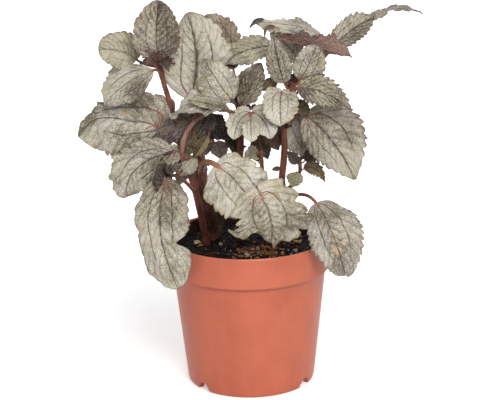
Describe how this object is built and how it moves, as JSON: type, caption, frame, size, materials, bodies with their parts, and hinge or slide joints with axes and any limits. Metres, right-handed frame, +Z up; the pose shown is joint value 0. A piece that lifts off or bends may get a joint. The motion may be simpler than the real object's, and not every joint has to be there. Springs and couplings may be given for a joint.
{
  "type": "potted plant",
  "caption": "Upright silver-leaved pilea with red-brown stems and toothed, quilted leaves, planted in a round terracotta-coloured plastic nursery pot of soil.",
  "frame": {"origin": "centre of the pot's flat underside, on the surface it stands on", "axes": "+Z up along the pot's axis, -Y towards the plant's show side, +X to the right seen from that side"},
  "size_m": [0.2499, 0.12, 0.2852],
  "materials": {
    "pot_terracotta_plastic": "moulded polypropylene, satin",
    "potting_soil": "moist peat, rough",
    "stem_red_brown": "satin living stem",
    "stem_dark": "satin older stem",
    "leaf_silver": "satin, quilted between the veins",
    "leaf_olive": "satin, quilted between the veins",
    "leaf_brown": "dull, dry at the edge",
    "leaf_maroon": "satin underside",
    "leaf_dark": "satin, in deep tone",
    "bark_orange": "rough bark",
    "bark_tan": "rough bark",
    "perlite_white": "rough, porous"
  },
  "bodies": {
    "root": {"pot": "pot_terracotta_plastic", "potting_soil": "potting_soil", "stem_main_left": "stem_dark", "stem_thin_left": "stem_red_brown", "stem_centre": "stem_red_brown", "stem_thin_centre": "stem_red_brown", "stem_right": "stem_red_brown", "side_shoot": "stem_red_brown", "arched_shoot": "stem_red_brown", "leaf_top_left": "leaf_silver", "leaf_left_small": "leaf_olive", "leaf_left_folded": "leaf_silver", "leaf_left_big": "leaf_silver", "leaf_top_centre": "leaf_silver", "leaf_brown_edge": "leaf_brown", "leaf_centre_light": "leaf_silver", "leaf_centre_edge_on": "leaf_silver", "leaf_top_grooved": "leaf_silver", "leaf_centre_dark": "leaf_dark", "leaf_top_curled": "leaf_brown", "leaf_maroon_back": "leaf_maroon", "leaf_right_round": "leaf_silver", "leaf_right_upright": "leaf_silver", "leaf_right_toothed": "leaf_silver", "leaf_right_dark": "leaf_dark", "leaf_far_right": "leaf_silver", "leaf_far_tail": "leaf_brown", "leaf_low_left": "leaf_silver", "leaf_dark_curl": "leaf_maroon", "leaf_purple_back": "leaf_maroon", "leaf_inner_dark": "leaf_dark", "leaf_inner_narrow": "leaf_dark", "leaf_green_stripe": "leaf_olive", "leaf_front_centre": "leaf_silver", "leaf_front_crinkled": "leaf_silver", "leaf_cluster_left": "leaf_silver", "leaf_cluster_middle": "leaf_olive", "leaf_cluster_right": "leaf_silver", "leaf_over_stem": "leaf_silver", "leaf_right_big": "leaf_silver", "leaf_right_behind": "leaf_silver", "leaf_shoot_dark": "leaf_dark", "leaf_shoot_yellow": "leaf_olive", "leaf_shoot_brown": "leaf_brown", "leaf_shoot_green": "leaf_olive", "leaf_back_dark": "leaf_dark", "leaf_hanging_left": "leaf_silver", "leaf_hanging_right": "leaf_silver", "leaf_small_yellow": "leaf_olive", "leaf_dead_hanging": "leaf_maroon", "leaf_dark_inner_right": "leaf_dark", "leaf_small_tan": "leaf_brown", "bark_chip_large": "bark_orange", "bark_chip_left": "bark_orange", "bark_chip_tan": "bark_tan", "bark_chip_back": "bark_tan", "perlite_left": "perlite_white", "perlite_middle": "perlite_white", "perlite_right": "perlite_white"}
  },
  "joints": []
}
